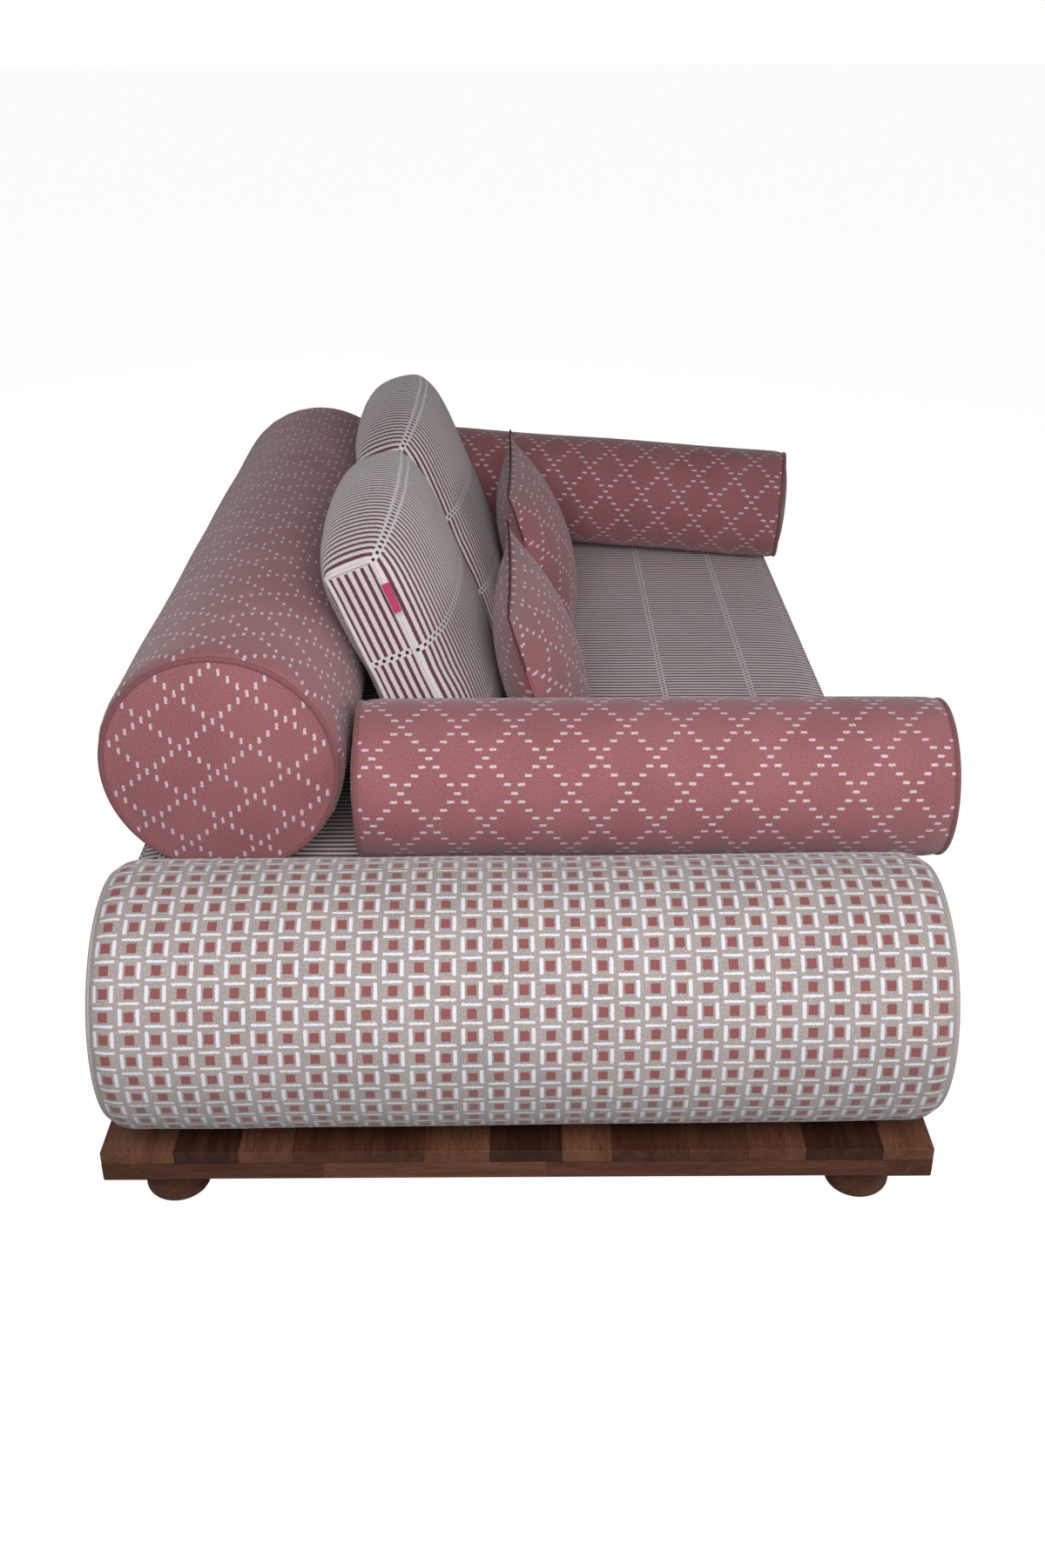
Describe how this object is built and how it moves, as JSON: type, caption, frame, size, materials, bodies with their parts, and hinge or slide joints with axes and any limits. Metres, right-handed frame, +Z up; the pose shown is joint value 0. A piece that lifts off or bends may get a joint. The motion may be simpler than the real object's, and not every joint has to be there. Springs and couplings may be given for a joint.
{
  "type": "backless divan",
  "caption": "Low timber platform daybed on round feet with a boxed mattress, loose end, arm and back bolsters, leaning box cushions and small scatter cushions.",
  "frame": {"origin": "on the floor under the middle of the whole divan's bounding box", "axes": "+X towards the open seat front, +Y along the long side towards the far end, +Z up"},
  "size_m": [1.154, 2.131, 0.7528],
  "materials": {
    "walnut_staves": "oiled",
    "walnut_rail": "oiled",
    "walnut_inner": "bare",
    "walnut_feet": "oiled",
    "felt": "matt",
    "zinc_steel": "plated",
    "striped_cotton": "woven",
    "zip": "woven tape",
    "woven_tab": "satin weave",
    "foam": "foam",
    "fibre_fill": "soft",
    "cream_check": "jacquard weave",
    "rose_trellis": "jacquard weave"
  },
  "bodies": {
    "platform": {"bearer_far": "walnut_inner", "bearer_middle": "walnut_inner", "bearer_near": "walnut_inner", "captive_nuts": "zinc_steel", "end_rail_far": "walnut_rail", "end_rail_near": "walnut_rail", "feet_far": "walnut_feet", "feet_middle": "walnut_feet", "feet_near": "walnut_feet", "foot_glides": "felt", "hanger_bolts": "zinc_steel", "leg_blocks": "walnut_inner", "long_rail_back": "walnut_rail", "long_rail_front": "walnut_rail", "top_panel": "walnut_staves"},
    "end_bolster_near": {"end_bolster_near_end_discs": "cream_check", "end_bolster_near_filling": "fibre_fill", "end_bolster_near_sleeve": "cream_check"},
    "end_bolster_far": {"end_bolster_far_end_discs": "cream_check", "end_bolster_far_filling": "fibre_fill", "end_bolster_far_sleeve": "cream_check"},
    "mattress": {"mattress_core": "foam", "mattress_cover": "striped_cotton", "mattress_piping": "striped_cotton", "mattress_zip": "zip"},
    "back_bolster": {"back_bolster_end_discs": "rose_trellis", "back_bolster_filling": "fibre_fill", "back_bolster_sleeve": "rose_trellis"},
    "arm_bolster_near": {"arm_bolster_near_end_discs": "rose_trellis", "arm_bolster_near_filling": "fibre_fill", "arm_bolster_near_sleeve": "rose_trellis"},
    "arm_bolster_far": {"arm_bolster_far_end_discs": "rose_trellis", "arm_bolster_far_filling": "fibre_fill", "arm_bolster_far_sleeve": "rose_trellis"},
    "back_cushion_near": {"back_cushion_near_cover": "striped_cotton", "back_cushion_near_insert": "fibre_fill", "back_cushion_near_tab": "woven_tab"},
    "back_cushion_far": {"back_cushion_far_cover": "striped_cotton", "back_cushion_far_insert": "fibre_fill"},
    "scatter_cushion_near": {"scatter_cushion_near_cover": "rose_trellis", "scatter_cushion_near_insert": "fibre_fill", "scatter_cushion_near_tab": "woven_tab"},
    "scatter_cushion_far": {"scatter_cushion_far_cover": "rose_trellis", "scatter_cushion_far_insert": "fibre_fill", "scatter_cushion_far_tab": "woven_tab"}
  },
  "joints": [
    {"name": "end_bolster_near_pull_off", "type": "slide", "parent": "platform", "child": "end_bolster_near", "axis": [0, -1, 0], "range_m": [0, 0.4]},
    {"name": "end_bolster_far_pull_off", "type": "slide", "parent": "platform", "child": "end_bolster_far", "axis": [0, 1, 0], "range_m": [0, 0.4]},
    {"name": "mattress_lift_off", "type": "slide", "parent": "platform", "child": "mattress", "axis": [0, 0, 1], "range_m": [0, 0.3]},
    {"name": "back_bolster_pull_off", "type": "slide", "parent": "mattress", "child": "back_bolster", "axis": [-1, 0, 0], "range_m": [0, 0.4]},
    {"name": "arm_bolster_near_lift_off", "type": "slide", "parent": "mattress", "child": "arm_bolster_near", "axis": [0, 0, 1], "range_m": [0, 0.3]},
    {"name": "arm_bolster_far_lift_off", "type": "slide", "parent": "mattress", "child": "arm_bolster_far", "axis": [0, 0, 1], "range_m": [0, 0.3]},
    {"name": "back_cushion_near_lift_out", "type": "slide", "parent": "mattress", "child": "back_cushion_near", "axis": [-0.3746, 0, 0.9272], "range_m": [0, 0.42]},
    {"name": "back_cushion_far_lift_out", "type": "slide", "parent": "mattress", "child": "back_cushion_far", "axis": [-0.3746, 0, 0.9272], "range_m": [0, 0.42]},
    {"name": "scatter_cushion_near_lift_out", "type": "slide", "parent": "back_cushion_near", "child": "scatter_cushion_near", "axis": [-0.309, 0, 0.9511], "range_m": [0, 0.32]},
    {"name": "scatter_cushion_far_lift_out", "type": "slide", "parent": "back_cushion_far", "child": "scatter_cushion_far", "axis": [-0.309, 0, 0.9511], "range_m": [0, 0.32]}
  ]
}
